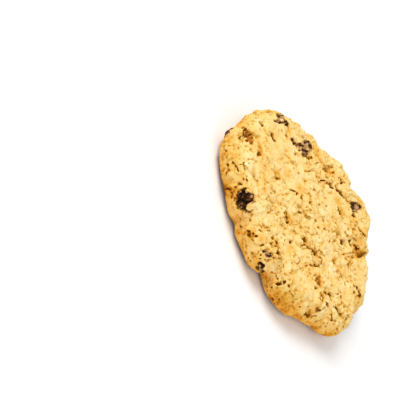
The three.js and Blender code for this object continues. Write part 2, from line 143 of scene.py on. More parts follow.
# Where the dough covers a raisin more or less than COVER says: how much, how far, and where.
# Middling shares leave a pale film on the skin, and on some raisins these spots are painted
# highlights.
COVER_AND_GLINT_SPOTS = {
    "raisin_1": [
        (0.4, 0.7, (-36, 1, 12.5)),
        (0.42, 0.7, (-35, 1, 12.5)),
        (0.45, 0.55, (-35, 0, 12.5)),
        (0.4, 0.7, (-33.5, 1.5, 12.5)),
        (0.4, 0.7, (-32, 2.5, 12.5)),
        (0.16, 0.7, (-37, 2.5, 11.5)),
        (0.16, 0.7, (-36, 0.5, 12)),
        (0.2, 0.5, (-36, 3, 12)),
        (0.11, 0.55, (-34.5, -1.5, 12.5)),
        (0.11, 0.6, (-34, 0, 12)),
        (0.11, 0.6, (-34, 1.5, 13)),
        (0.11, 0.6, (-33.5, 2.5, 13)),
        (0.09, 0.7, (-32.5, 3, 12.5)),
        (0.14, 0.55, (-32, 3.5, 12.5)),
        (0.95, 0.35, (-32.5, 0.5, 12.5)),
        (0.9, 0.3, (-33, 1.5, 12.5)),
    ],
    "raisin_2": [
        (0.36, 0.8, (-22, 14, 12)),
        (0.36, 0.7, (-21, 13.5, 11.5)),
        (0.34, 0.7, (-20.5, 9, 12)),
        (0.4, 0.9, (-23.5, 7, 12.5)),
        (0.38, 0.9, (-22.5, 8, 13)),
        (0.4, 0.9, (-23.5, 12, 13)),
        (0.4, 0.85, (-22, 11, 13)),
        (0.36, 0.85, (-21.5, 7, 12.5)),
        (0.4, 0.6, (-22.5, 5, 12)),
        (0.48, 0.65, (-23.5, 9.5, 13)),
        (0.16, 0.5, (-24.5, 6, 12)),
        (0.13, 0.55, (-24.5, 7, 12)),
        (0.13, 0.55, (-24, 7.5, 12.5)),
        (0.21, 0.4, (-23.5, 8, 12.5)),
        (0.1, 0.8, (-24.5, 11.5, 12.5)),
        (0.14, 0.5, (-24.5, 10, 12.5)),
        (0.12, 0.75, (-24.5, 13.5, 12)),
        (0.13, 0.7, (-23, 12, 13)),
        (0.13, 0.75, (-22.5, 15, 12)),
        (0.2, 0.6, (-22, 14.5, 11.5)),
        (0.16, 0.6, (-23, 4.5, 12.5)),
        (0.2, 0.4, (-22.5, 4.5, 12.5)),
        (0.18, 0.5, (-22.5, 7, 12.5)),
        (0.18, 0.4, (-22, 8, 12.5)),
        (0.12, 0.55, (-21.5, 8.5, 12.5)),
        (0.16, 0.5, (-20.5, 9.5, 11.5)),
        (0.22, 0.5, (-21, 6.5, 12)),
        (0.2, 0.4, (-20.5, 7.5, 12)),
        (0.14, 0.6, (-22.5, 13, 12.5)),
        (0.2, 0.5, (-21.5, 15, 11.5)),
        (0.9, 0.4, (-22, 10, 13)),
        (0.7, 0.35, (-23.5, 9.5, 12.5)),
    ],
    "raisin_3": [
        (1.0, 0.6, (-16.5, -35, 8)),
        (1.0, 1.1, (-15.5, -33.5, 11)),
        (1.0, 1.0, (-14.5, -33, 11.5)),
        (1.0, 0.9, (-12.5, -32.5, 11.5)),
        (1.0, 0.9, (-11.5, -33, 11.5)),
        (1.0, 1.2, (-10, -35.5, 11)),
        (1.0, 1.1, (-10, -36.5, 10.5)),
        (1.0, 0.9, (-9.5, -37, 10)),
        (1.0, 0.8, (-16, -36, 7)),
        (1.0, 0.8, (-14.5, -36.5, 6.5)),
        (1.0, 0.8, (-13.5, -37, 6)),
        (1.0, 0.9, (-11, -38, 6)),
        (1.0, 0.7, (-10.5, -37.5, 6.5)),
        (0.13, 0.5, (-14, -37, 9.5)),
        (0.12, 0.7, (-13, -36.5, 10.5)),
        (0.1, 0.6, (-12.5, -35.5, 11.5)),
        (0.12, 0.6, (-11.5, -37.5, 9)),
        (0.22, 0.35, (-14, -37, 9.5)),
        (0.22, 0.4, (-12.5, -36, 11)),
        (0.28, 0.45, (-13, -35, 11.5)),
        (0.22, 0.4, (-12, -37.5, 8.5)),
        (0.9, 0.3, (-11, -37.5, 8)),
    ],
    "raisin_4": [
        (0.4, 0.5, (3, 25.5, 13.5)),
        (0.5, 0.45, (4, 26.5, 13.5)),
        (0.12, 0.55, (4.5, 25.5, 13.5)),
        (0.1, 0.7, (2, 24.5, 13)),
        (0.1, 0.7, (3, 24, 13)),
        (0.1, 0.7, (4, 24, 13)),
        (0.1, 0.7, (5, 24, 13)),
        (0.1, 0.55, (2, 26, 13.5)),
        (0.2, 0.5, (2.5, 26.5, 13.5)),
        (0.12, 0.6, (3, 27.5, 13.5)),
        (0.09, 0.65, (3.5, 28.5, 14)),
        (0.14, 0.6, (4.5, 29, 13.5)),
    ],
    "raisin_5": [
        (0.02, 0.55, (-35.5, -21, 10)),
        (0.1, 0.55, (-34.5, -22, 11)),
        (0.15, 0.55, (-33.5, -22.5, 11.5)),
        (0.05, 0.35, (-33, -24, 11)),
        (0.08, 0.45, (-32.5, -24, 11.5)),
        (0.25, 0.45, (-33, -23.5, 11.5)),
        (0.1, 0.45, (-32, -23.5, 12)),
        (0.02, 0.6, (-32.5, -22, 12)),
        (0.08, 0.4, (-32, -21.5, 12)),
        (0.35, 0.6, (-31.5, -23, 12)),
        (0.4, 0.7, (-30.5, -23, 12)),
        (0.38, 0.55, (-30, -23, 12)),
        (0.3, 0.4, (-31, -20.5, 11.5)),
        (0.08, 0.4, (-30.5, -25, 12)),
        (0.15, 0.4, (-29.5, -23.5, 12)),
        (0.2, 0.45, (-31, -24.5, 11.5)),
    ],
    "raisin_6": [
        (0.1, 0.4, (5, -37.5, 9.5)),
        (0.08, 0.4, (5, -37, 10)),
        (0.02, 0.45, (6.5, -37.5, 10)),
        (0.02, 0.55, (7, -37, 10.5)),
        (0.06, 0.45, (6.5, -36.5, 11)),
    ],
    "raisin_7": [
        (0.1, 0.4, (31, 5.5, 12.5)),
        (0.08, 0.45, (32, 5.5, 12)),
        (0.12, 0.4, (32.5, 6, 12)),
        (0.25, 0.4, (29.5, 5.5, 12.5)),
        (0.3, 0.35, (30, 7.5, 11.5)),
        (0.3, 0.35, (28.5, 4.5, 12)),
    ],
    "raisin_8": [
        (0.5, 0.8, (28.5, -22.5, 11.5)),
        (0.5, 0.7, (30, -20, 10.5)),
        (0.3, 0.5, (29.5, -22.5, 11)),
        (0.2, 0.65, (30, -21.5, 10.5)),
    ],
    "raisin_9": [
        (0.25, 0.7, (-35.5, -23, 3.5)),
        (0.15, 0.75, (-36, -23.5, 4.5)),
        (0.15, 0.75, (-36.5, -22.5, 5)),
        (0.15, 0.75, (-37, -22.5, 6.5)),
        (0.15, 0.7, (-36.5, -22.5, 7.5)),
    ],
    "raisin_10": [
        (0.08, 0.6, (8, -38.5, 6.5)),
        (0.05, 0.55, (8.5, -38, 7)),
        (0.03, 0.7, (9, -37.5, 7)),
        (0.05, 0.6, (9.5, -37.5, 6.5)),
        (0.5, 0.4, (9, -38, 6)),
        (0.15, 0.55, (9.5, -37.5, 5)),
        (0.45, 0.35, (10, -37.5, 5.5)),
        (0.1, 0.6, (11, -37, 6)),
        (0.2, 0.6, (11.5, -36.5, 4.5)),
        (0.2, 0.5, (12, -36, 5)),
    ],
    "raisin_11": [
        (1.0, 1.3, (33.5, 13, 6.5)),
        (1.0, 1.0, (35.5, 15, 7.5)),
        (1.0, 1.1, (32.5, 20.5, 5)),
        (1.0, 0.9, (35.5, 14, 6.5)),
        (1.0, 0.7, (35.5, 13, 3)),
        (1.0, 0.8, (36, 14.5, 2.5)),
        (0.2, 0.7, (35.5, 17, 6)),
    ],
    "raisin_12": [
        (1.0, 1.1, (5, 38, 7.5)),
        (1.0, 0.9, (10.5, 38.5, 3)),
        (1.0, 0.8, (10, 38.5, 8)),
        (1.0, 0.6, (6, 38.5, 2.5)),
        (0.2, 0.7, (7, 39, 6)),
        (0.3, 0.35, (9, 39, 4)),
    ],
    "raisin_13": [
        (1.0, 1.2, (-34, 15, 6.5)),
        (1.0, 1.0, (-31, 21, 6.5)),
        (0.22, 0.7, (-34, 17, 5)),
        (0.28, 0.4, (-33, 19, 4)),
    ],
}


def surface_of(piece):
    """The vertices of a piece in mm, their normals, and the pairs its edges join."""
    mesh = piece.data
    places = np.empty(len(mesh.vertices) * 3)
    mesh.vertices.foreach_get("co", places)
    normals = np.empty(len(mesh.vertices) * 3)
    mesh.vertex_normals.foreach_get("vector", normals)
    pairs = np.empty(len(mesh.edges) * 2, int)
    mesh.edges.foreach_get("vertices", pairs)
    return places.reshape(-1, 3) / MM, normals.reshape(-1, 3), pairs.reshape(-1, 2)


def move_to(piece, places):
    """Moves the vertices of a piece to these places in mm."""
    piece.data.vertices.foreach_set("co", (places * MM).ravel())
    piece.data.update()


def lumps(places, size, seed):
    """Smooth noise from -1 to 1 over places in mm, in lumps of this size."""
    side = 32
    lattice = np.random.default_rng(seed).uniform(-1, 1, (side, side, side))
    cell = places / size
    low = np.floor(cell).astype(int)
    ease = (cell - low) ** 2 * (3 - 2 * (cell - low))
    total = np.zeros(len(places))
    for corner in np.ndindex(2, 2, 2):
        share = np.prod(np.where(corner, ease, 1 - ease), axis=1)
        total += share * lattice[tuple(((low + corner) % side).T)]
    return total


def wavering(places, far, size, seed):
    """How far each place is moved about, up to this far and in lumps of this size."""
    return far * np.stack([lumps(places, size, seed + axis) for axis in range(3)], axis=1)


def rising(values, nothing, full):
    """Values turned into shares: 0 up to nothing, 1 from full on, and even between."""
    return np.clip((values - nothing) / (full - nothing), 0, 1)


def spread(values, pairs, rounds):
    """Values averaged over each vertex's neighbours, this many times."""
    first, second = pairs.T
    joined = np.bincount(pairs.ravel(), minlength=len(values))
    for _ in range(rounds):
        around = np.bincount(first, values[second], len(values))
        around += np.bincount(second, values[first], len(values))
        values = around / joined
    return values


def skin_tree(*meshes):
    """A search tree over the faces of these meshes."""
    shape = shape_of(*meshes)
    tree = BVHTree.FromBMesh(shape)
    shape.free()
    return tree


def middles_of(nodes):
    """The middles in mm of the boxes round these solids."""
    return np.array([sum(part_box(node), Vector()) / 2 / MM for node in nodes])


def nearest_of(places, middles):
    """The number of the middle that is nearest to each place."""
    return np.argmin(np.linalg.norm(places[:, None] - middles, axis=2), axis=1)


def cover_over(places):
    """How far the dough covers the raisin nearest to each of these places in mm, with painted
    highlights from some of the spots.
    """
    cover = np.array(list(COVER.values()))[nearest_of(places, middles_of(COVER))]
    frayed = places + wavering(places, *COVER_FRAY)
    for share, reach, place in sum(COVER_AND_GLINT_SPOTS.values(), []):
        away = np.linalg.norm((frayed - place) * SLANT, axis=1) / reach
        cover += (share - cover) * rising(away, *COVER_SPOT_ENDS)
    return cover


places, outward, pairs = surface_of(dough)
raisin_tree = skin_tree(*(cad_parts[node].data for node in COVER))
gap = np.full(len(places), np.inf)
for number, place in enumerate(places):
    touched, _, _, away = raisin_tree.find_nearest(Vector(place) * MM, COVER_REACH * MM)
    if touched is not None:
        gap[number] = away / MM
over = np.flatnonzero(gap < COVER_REACH)
waver, waver_size, waver_seed = COVER_WAVER
wavered = gap[over] - waver * lumps(places[over], waver_size, waver_seed)
on_raisin = rising(wavered, *COVER_ENDS)
bare = rising(cover_over(places[over]), *BARE_ENDS)
covered = over[bare < 0.5]
for _ in range(COVER_SMOOTHINGS):
    averaged = np.stack([spread(places[:, axis], pairs, 1) for axis in range(3)], axis=1)
    places[covered] = averaged[covered]
cover_rise = on_raisin * (COVER_RISE * (1 - bare) - BARE_DEPTH * bare)
fringe = np.zeros(len(places))
fringe[over] = on_raisin * bare
places[over] += outward[over] * cover_rise[:, None]
move_to(dough, places)

# The oat flakes: flat plates at all tilts, of which only the highest shows at a place.
# They and the rest of the relief fade out at the foot of the rim.
SEED = 7
FOOT_ENDS = (0.6, 2.6)
LOOSE_ABOVE = 0.3
RAGGED = ((0.42, 1.3, 1), (0.28, 0.6, 5))
FLAKES = 700
FLAKE_HALF_LENGTH = (1.3, 3.0)
FLAKE_WIDTH_SHARE = (0.5, 0.8)
FLAKE_FRAY = (0.5, 2.1, 15)
FLAKE_TILT = 0.34
FLAKE_LIFT = (-0.2, 0.15)
FLAKE_EDGE_DROP = 0.12
FLAKE_BED = -0.45


def tree_of(places):
    """A search tree over places."""
    tree = KDTree(len(places))
    for number, place in enumerate(places):
        tree.insert(place, number)
    tree.balance()
    return tree


def near_to(place, reach):
    """The numbers of the dough's vertices within reach of a place in mm."""
    return np.array([number for _, number, _ in tree.find_range(place, reach)], int)


places, outward, pairs = surface_of(dough)
tree = tree_of(places)
draw = np.random.default_rng(SEED)
raised = rising(places[:, 2], *FOOT_ENDS)
raised = raised * raised * (3 - 2 * raised)
loose = np.flatnonzero(raised > LOOSE_ABOVE)
ragged = places + sum(wavering(places, *waver) for waver in RAGGED)
frayed = ragged + wavering(places, *FLAKE_FRAY)
flake_rise = np.full(len(places), FLAKE_BED)
flake_tint = np.zeros(len(places))
for spot in draw.choice(loose, FLAKES, replace=False):
    half_length = draw.uniform(*FLAKE_HALF_LENGTH)
    half_width = half_length * draw.uniform(*FLAKE_WIDTH_SHARE)
    along = np.cross(outward[spot], draw.normal(size=3))
    along /= np.linalg.norm(along)
    across = np.cross(outward[spot], along)
    tilt = draw.normal(0, FLAKE_TILT, 2)
    lift = draw.uniform(*FLAKE_LIFT)
    tint = draw.uniform(-1, 1)
    near = near_to(places[spot], half_length)
    away = frayed[near] - places[spot]
    lengthwise = away @ along / half_length
    sideways = away @ across / half_width
    ring = np.hypot(lengthwise, sideways)
    plate = lift + tilt[0] * lengthwise + tilt[1] * sideways - FLAKE_EDGE_DROP * ring**4
    shown = (ring < 1) & (plate > flake_rise[near])
    flake_rise[near[shown]] = plate[shown]
    flake_tint[near[shown]] = tint

# The crumb between the flakes: small round grains, in patches and less on the rim.
GRAINS = 5200
GRAIN_EDGE = 0.5
GRAIN_UNEVENNESS = 0.5
GRAIN_FURROW = 0.6
GRAIN_RISE = 0.24
SLOPE_SPREADS = 30
CRUMBLY = {"mean": 0.5, "swing": 0.9, "size": 8.0, "seed": 4, "least": 0.12}
TOP_ENDS = (0.4, 0.9)
STEEP_SHARE = 0.55
SMOOTH_ENDS = (1.4, 0.4)
FLAKES_SMOOTHED = 0.7
ABOVE_TOP = 30
PAST_RIM = 60
# Where the top is smooth: how much, how far, and where.
SMOOTH = [
    (0.8, 10.0, (-31, 0)),
    (0.7, 6.0, (-24, -22)),
    (0.6, 7.0, (-14, -6)),
    (0.6, 7.0, (26, 15)),
    (0.7, 8.0, (33, 4)),
    (0.6, 7.0, (24, -27)),
    (0.6, 7.0, (8, 32)),
    (1.0, 8.0, (-26, -9)),
    (0.6, 8.0, (2, 14)),
    (0.9, 6.0, (25, 20)),
    (0.9, 7.0, (31, 14)),
    (1.0, 3.0, (-8.5, -34)),
]


def on_top(x, y):
    """The place in mm on the top of the dough, over this place on the table."""
    return np.array(plain_dough.ray_cast(Vector((x, y, ABOVE_TOP)) * MM, (0, 0, -1))[0]) / MM


def on_rim(bearing, height):
    """The place in mm on the rim at this bearing in degrees and this height."""
    out = Vector((math.cos(math.radians(bearing)), math.sin(math.radians(bearing)), 0))
    outside = (out * PAST_RIM + Vector((0, 0, height))) * MM
    return np.array(plain_dough.ray_cast(outside, -out)[0]) / MM


def laid(put, spots):
    """Spots with their places laid on the dough by on_top or on_rim."""
    return [(strength, reach, put(*place)) for strength, reach, place in spots]


def strongest(spots, ends):
    """How strong the strongest of these spots is at each vertex of the dough."""
    strength_there = np.zeros(len(places))
    for strength, reach, middle in spots:
        away = np.linalg.norm(places - middle, axis=1) / reach
        strength_there = np.maximum(strength_there, strength * rising(away, *ends))
    return strength_there


def patchy(mean, swing, size, seed, least):
    """A share for each vertex of the dough that swings about a mean, in lumps of this size."""
    return np.clip(mean + swing * lumps(places, size, seed), least, 1)


grain_tree = tree_of(places[draw.choice(loose, GRAINS, replace=False)])
grain_lift = draw.uniform(-1, 1, GRAINS)
grain_rise = np.zeros(len(places))
for spot in loose:
    (_, nearest, nearest_away), (_, _, next_away) = grain_tree.find_n(ragged[spot], 2)
    inward = min((next_away - nearest_away) / GRAIN_EDGE, 1)
    grain_rise[spot] = GRAIN_UNEVENNESS * grain_lift[nearest] + inward - GRAIN_FURROW
upturned = spread(outward[:, 2], pairs, SLOPE_SPREADS)
slope_share = STEEP_SHARE + (1 - STEEP_SHARE) * rising(upturned, *TOP_ENDS)
smooth = strongest(laid(on_top, SMOOTH), SMOOTH_ENDS)
crumbly = patchy(**CRUMBLY) * slope_share * (1 - smooth)

# The hollows, cracks and pits, with ragged edges. Hollows open where noise is strong, and
# seams run between its lumps: the size of the lumps and the seed are given for each.
HOLLOW_DEPTH = 0.75
WIDE_HOLLOW = (2.6, 21)
WIDE_ENDS = (0.4, 0.8)
BAY = (1.1, 22)
BAY_SHARE = 0.5
NARROW_HOLLOW = (1.2, 23)
NARROW_ENDS = (0.45, 0.75)
NARROW_SHARE = 0.8
CRACK_NARROWING = 0.75
CRACK_ENDS = (0.9, 0.275)
CRACK_REACH = 3
BROKEN = {"mean": 0.85, "swing": 0.6, "size": 1.9, "seed": 9, "least": 0.35}
STEPS_PER_STRETCH = 9
PIT_ENDS = (1.35, 0.35)
SEAMS = ((3.2, 51), (1.8, 53))
SEAM_ENDS = (0.192, 0.032)
SEAM_STRETCH = 1.3
SEAM_STRETCH_ENDS = (0.0, 0.4)
SEAM_LEAST = 0.35
SEAM_DEPTH = 0.5
STRAY_PITS = 620
STRAY_PIT_RADIUS = (0.3, 0.7)
STRAY_PIT_DEPTH = (0.3, 1.0)
STRAY_PIT_ENDS = (1.3, 0.3)
STRAY_PIT_REACH = 1.6
# Fine unevenness all over: how high, in lumps of what size, and from which seed.
UNEVENNESS = ((0.1, 1.2, 11), (0.13, 0.6, 12))
# Each crack in the top: how deep, how wide, and its course over the top.
TOP_CRACKS = [
    (0.9, 0.75, [(8, -17.5), (9.5, -15.5), (11, -12.5), (13, -10), (15, -9.5), (16.5, -11)]),
    (0.8, 0.6, [(15, -21), (15.5, -18), (16, -16), (17, -12)]),
    (0.8, 0.6, [(32, -12.5), (33.5, -11.5), (35, -11), (37, -9.5)]),
    (0.8, 0.6, [(29, -17.5), (31.5, -15.5), (33.5, -15.5), (35.5, -15)]),
    (1.3, 1.0, [(18.5, 10), (19, 11), (19.5, 15.5)]),
    (1.1, 0.9, [(13.5, 15.5), (14, 15), (15.5, 14.5)]),
    (1.1, 0.9, [(16, 18), (17, 18.5), (18, 19)]),
    (1.3, 1.5, [(19.5, 20), (20.5, 22), (20.5, 24.5)]),
    (0.9, 0.7, [(12.5, 10.5), (15, 12)]),
    (0.7, 0.6, [(19.5, 10.5), (21, 8.5), (22.5, 8)]),
    (0.9, 0.7, [(11, 24), (12.5, 24.5), (15, 25.5)]),
    (1.0, 0.8, [(-6.5, 19.5), (-4.5, 20.5), (-2.5, 22), (-1.5, 22.5)]),
    (0.9, 0.7, [(-10, 13), (-9, 14.5), (-7.5, 16), (-6, 17)]),
    (0.8, 0.6, [(-7, 20.5), (-6.5, 26)]),
    (0.5, 0.7, [(-13.5, 18.5), (-12, 20.5), (-11, 22)]),
    (0.7, 0.6, [(-14.5, 10.5), (-12, 11), (-11, 12)]),
    (0.6, 0.6, [(-15, 3), (-14.5, 8.5)]),
    (0.9, 0.8, [(-20.5, 9), (-19.5, 9), (-19, 11), (-19, 12)]),
    (1.2, 1.1, [(-27, 4), (-26, 4.5), (-25.5, 5), (-24.5, 5.5)]),
    (1.2, 1.0, [(-23.5, 4), (-22.5, 4.5)]),
    (0.6, 0.5, [(-9, -36.5), (-8.5, -36), (-7.5, -35.5)]),
    (1.0, 0.8, [(-31, -9), (-30, -9), (-29, -9), (-28, -8.5)]),
    (0.7, 0.6, [(-31, 1), (-28, 1)]),
    (0.8, 0.7, [(-36, -11), (-35, -11), (-33.5, -13)]),
    (0.7, 0.6, [(-11.5, -10.5), (-10, -9), (-8.5, -8.5)]),
    (0.8, 0.7, [(-7.5, -6.5), (-6, -6.5)]),
    (0.9, 0.8, [(-3, -12), (-2, -10)]),
    (0.7, 0.7, [(-8.5, 1), (-7.5, 4.5)]),
    (0.7, 0.7, [(8.5, 5), (10, 9)]),
    (0.7, 0.6, [(1, 15), (3.5, 14.5)]),
    (0.8, 0.6, [(29, 6.5), (31, 8), (33, 5.5)]),
    (0.7, 0.5, [(27.5, -5), (30.5, -7.5)]),
    (0.5, 0.5, [(-24.5, -18), (-22.5, -18)]),
    (0.4, 0.4, [(-21.5, -22), (-20.5, -18)]),
    (0.6, 0.8, [(2, -33), (4, -31.5), (5.5, -32), (7, -33.5)]),
    (0.6, 0.5, [(11, -12), (11.5, -8.5), (13, -7.5)]),
    (0.5, 0.6, [(7.5, 18), (10, 19.5)]),
    (0.8, 0.5, [(5, -23.5), (6, -24.5)]),
    (1.6, 1.4, [(3, 24), (5, 24), (6, 23.5)]),
    (1.5, 1.1, [(-35, -3), (-34.5, -1.5), (-34, 0)]),
]
# Each crack in the rim: how deep, how wide, and its course as bearings and heights.
RIM_CRACKS = [
    (0.7, 0.5, [(230.5, 7.5), (232, 8.2), (233, 8.8), (235, 9.2)]),
    (0.7, 0.5, [(254, 8.2), (258, 9.8)]),
    (0.5, 0.7, [(242, 5.1), (246, 5.8), (249.5, 5.9)]),
    (0.7, 0.6, [(221, 4.4), (225, 6.2)]),
    (0.8, 0.6, [(265, 7.2), (268.5, 7.5)]),
    (1.4, 1.0, [(295.5, 7.5), (296, 8.5), (297, 9.4), (297, 10.1)]),
    (0.5, 0.4, [(302, 9.9), (304.5, 9.6)]),
    (0.8, 0.8, [(320.5, 7), (322.5, 7.3), (323.5, 7)]),
    (0.5, 0.4, [(322.5, 7.6), (321, 9)]),
    (0.5, 0.5, [(221.5, 8.3), (224, 10.1)]),
    (0.9, 0.7, [(242, 3.5), (243.5, 5)]),
]
# The pits that show in the top: how deep, their radius, and where.
TOP_PITS = [
    (0.6, 0.5, (-33.5, -13.5)),
    (0.7, 0.9, (-25.5, -21.5)),
    (0.9, 0.5, (-8.5, -8.5)),
    (0.8, 0.6, (-4, -2.5)),
    (1.0, 1.0, (7, -16)),
    (0.45, 1.2, (20.5, -18)),
    (0.7, 0.8, (22, -17.5)),
    (0.8, 0.6, (23, -20.5)),
    (0.8, 0.6, (26, -15)),
    (1.1, 0.8, (27.5, -13)),
    (1.0, 0.45, (35, -15)),
    (0.9, 0.6, (30.5, 2.5)),
    (0.9, 1.3, (19.5, 19)),
    (1.3, 0.8, (13, 10.5)),
    (0.7, 0.6, (5, -2.5)),
    (0.7, 0.5, (2.5, -2.5)),
    (0.7, 1.0, (18, -0.5)),
    (0.7, 0.5, (-1, 8)),
    (0.6, 0.5, (17, 8.5)),
    (0.9, 0.6, (-1, -20)),
    (0.7, 0.6, (-4, -20.5)),
    (0.9, 0.7, (-10, -28.5)),
    (0.8, 0.6, (-16, -16)),
    (0.8, 0.5, (-17.5, 21.5)),
    (0.7, 0.5, (-21.5, 2)),
    (0.9, 0.6, (9, -33)),
    (0.6, 0.5, (28, -19)),
    (0.6, 0.45, (3, -37)),
    (0.6, 0.45, (3.5, -34)),
    (0.5, 0.35, (5.5, -34.5)),
    (0.5, 0.4, (5, -32.5)),
    (0.6, 0.5, (7.5, -33.5)),
    (0.6, 0.4, (8.5, -35)),
    (0.5, 0.4, (8, -37.5)),
    (0.6, 0.4, (31.5, -22.5)),
    (0.7, 0.4, (-18, -33.5)),
    (0.6, 0.5, (-19, 10.5)),
]
# The pits that show in the rim, by bearing and height.
RIM_PITS = [
    (0.5, 0.5, (241, 8)),
    (0.8, 0.7, (240.5, 10.5)),
    (0.8, 0.6, (235, 4.9)),
    (0.8, 0.6, (231, 5.6)),
    (1.1, 0.6, (265.5, 7.5)),
    (0.9, 0.5, (266.5, 6.8)),
    (1.0, 0.55, (267.5, 7.3)),
    (0.7, 0.5, (267, 8.8)),
    (0.6, 0.4, (261.5, 4.6)),
    (0.5, 0.4, (270, 5.5)),
    (0.5, 0.4, (270, 3.1)),
    (0.7, 0.45, (265.5, 11.2)),
    (0.8, 0.5, (269, 9.3)),
    (0.6, 0.4, (270.5, 8)),
    (0.6, 0.4, (266, 6)),
    (0.8, 0.6, (274, 9.8)),
    (0.6, 0.5, (282, 9.1)),
    (0.6, 0.5, (291, 7.7)),
    (0.8, 0.5, (292.5, 7.5)),
    (0.7, 0.5, (325, 9.2)),
    (0.8, 0.5, (244.5, 9.8)),
    (0.7, 0.5, (242.5, 7)),
    (0.7, 0.45, (247, 5)),
]


def along_course(put, course):
    """Places on the dough, close together, along a course that on_top or on_rim lays."""
    shares = np.linspace(0, 1, STEPS_PER_STRETCH)
    stretches = zip(np.array(course), np.array(course[1:]))
    return [put(*(near + (far - near) * share)) for near, far in stretches for share in shares]


wide = lumps(ragged, *WIDE_HOLLOW) + BAY_SHARE * lumps(ragged, *BAY)
narrow = NARROW_SHARE * rising(lumps(ragged, *NARROW_HOLLOW), *NARROW_ENDS)
sunk = HOLLOW_DEPTH * crumbly * np.maximum(rising(wide, *WIDE_ENDS), narrow)
split = np.zeros(len(places))
broken = patchy(**BROKEN)
for put, slant, cracks, pits in (
    (on_top, SLANT, TOP_CRACKS, TOP_PITS),
    (on_rim, (1.0, 1.0, 1.0), RIM_CRACKS, RIM_PITS),
):
    for depth, width, course in cracks:
        width *= CRACK_NARROWING
        steps = along_course(put, course)
        near = np.unique(np.concatenate([near_to(step, CRACK_REACH * width) for step in steps]))
        course_tree = tree_of(steps * np.array(slant))
        away = np.array([course_tree.find(place)[2] for place in ragged[near] * slant])
        dip = depth * broken[near] * rising(away / width, *CRACK_ENDS)
        split[near] = np.maximum(split[near], dip)
    for depth, radius, place in pits:
        away = np.linalg.norm((ragged - put(*place)) * slant, axis=1)
        split = np.maximum(split, depth * rising(away / radius, *PIT_ENDS))
sunk = np.maximum(sunk, split)
for size, seed in SEAMS:
    seam = rising(np.abs(lumps(ragged, size, seed)), *SEAM_ENDS)
    seam *= rising(lumps(places, SEAM_STRETCH * size, seed + 1), *SEAM_STRETCH_ENDS)
    seam *= SEAM_LEAST + (1 - SEAM_LEAST) * crumbly
    sunk = np.maximum(sunk, SEAM_DEPTH * seam)
for spot in draw.choice(loose, STRAY_PITS, replace=False):
    radius = draw.uniform(*STRAY_PIT_RADIUS)
    depth = draw.uniform(*STRAY_PIT_DEPTH) * (1 - FLAKES_SMOOTHED * smooth[spot])
    near = near_to(places[spot], STRAY_PIT_REACH * radius)
    away = np.linalg.norm(ragged[near] - places[spot], axis=1)
    sunk[near] = np.maximum(sunk[near], depth * rising(away / radius, *STRAY_PIT_ENDS))

fine = sum(high * lumps(places, size, seed) for high, size, seed in UNEVENNESS)
flake_rise *= slope_share * (1 - FLAKES_SMOOTHED * smooth)
rise = raised * (flake_rise + GRAIN_RISE * crumbly * grain_rise + fine - sunk)
moved = places + outward * rise[:, None]
moved[:, 2] = np.maximum(moved[:, 2], np.minimum(places[:, 2], 0.0))
move_to(dough, moved)

# What the colour follows: hollows, darker as painted shade, with ridges a little paler as
# painted light; browner and paler areas; the foot of the rim, toasted and in painted warm
# shade; the sole and the flakes' own tint.
CLOSE_SPREADS = 12
AROUND_SPREADS = 60
CLOSE_DEPTH = 0.6
AROUND_DEPTH = 1.2
HOLLOW_FROM = 0.1
RIDGE_LEAST = -0.15
RIM_BROWNING = 0.62
RIM_ENDS = (0.9, 0.2)
TOASTED_AND_SHADED_ENDS = (0.3, -0.2)
SOLE_ENDS = (-0.5, -0.8)
TINT_ENDS = (1.3, 0.3)
FRINGE_PAINTED_LIGHT = 2.5
# Where the dough is browner and paler, on the top and in the rim: how much, how far and where.
# Some of the browner spots low on the rim are painted shade, and some paler spots are painted
# light.
BROWNED = [
    (1.0, 4.0, (18, 19)),
    (1.0, 3.0, (-12.5, 21)),
    (1.0, 2.5, (-19.5, 16.5)),
    (0.5, 2.5, (-9, -7)),
    (1.5, 2.2, (-2.5, -19)),
    (0.6, 2.0, (17, 1)),
    (0.7, 2.0, (-17, -16.5)),
    (0.8, 2.0, (-31.5, -22.5)),
    (0.7, 2.5, (5.5, -32.5)),
    (0.9, 2.5, (21, -17)),
    (0.6, 2.5, (29, -22.5)),
    (0.9, 2.5, (3, 16)),
    (0.5, 3.5, (9, 19)),
    (1.0, 3.0, (13.5, 27)),
    (0.4, 5.0, (22, -31)),
    (0.6, 4.5, (28, -27)),
    (1.8, 2.2, (20, 21.5)),
    (1.8, 1.8, (26.5, -19.5)),
    (1.3, 2.0, (-27.5, -19)),
    (0.9, 2.5, (-16, -7.5)),
    (0.9, 1.5, (4, -31.5)),
    (0.8, 2.0, (-18.5, 12.5)),
    (1.0, 2.0, (-30, 3)),
    (0.7, 2.5, (7.5, -25.5)),
    (0.8, 2.0, (20.5, 9.5)),
    (1.1, 2.0, (-11.5, 22.5)),
    (0.8, 3.0, (16, 21)),
    (0.6, 4.0, (-27, -14.5)),
    (1.0, 2.0, (-18, -14.5)),
    (0.7, 2.0, (-21, 18)),
    (0.8, 2.0, (19.5, -22)),
    (0.6, 2.5, (-10, -5)),
    (0.7, 2.5, (13.5, 30)),
    (0.5, 2.0, (-28, -25)),
    (0.5, 2.5, (-27, -8.5)),
    (0.5, 2.5, (-35.5, -7)),
    (0.9, 2.0, (18.5, -1.5)),
    (1.1, 2.0, (-21, -32.5)),
    (1.0, 2.0, (0.5, -37)),
    (0.7, 1.8, (27.5, -13)),
    (0.6, 2.0, (15.5, -30)),
    (0.8, 1.8, (-25.5, -20)),
    (0.8, 2.0, (9, 8.5)),
    (1.2, 1.6, (26.5, -18)),
    (0.7, 1.8, (29.5, 1)),
    (0.7, 1.8, (26.5, 4.5)),
    (0.7, 2.0, (-1, 17)),
    (0.7, 2.0, (16.5, -20)),
    (0.4, 4.0, (35.5, 2)),
    (0.4, 4.0, (37.5, -7.5)),
]
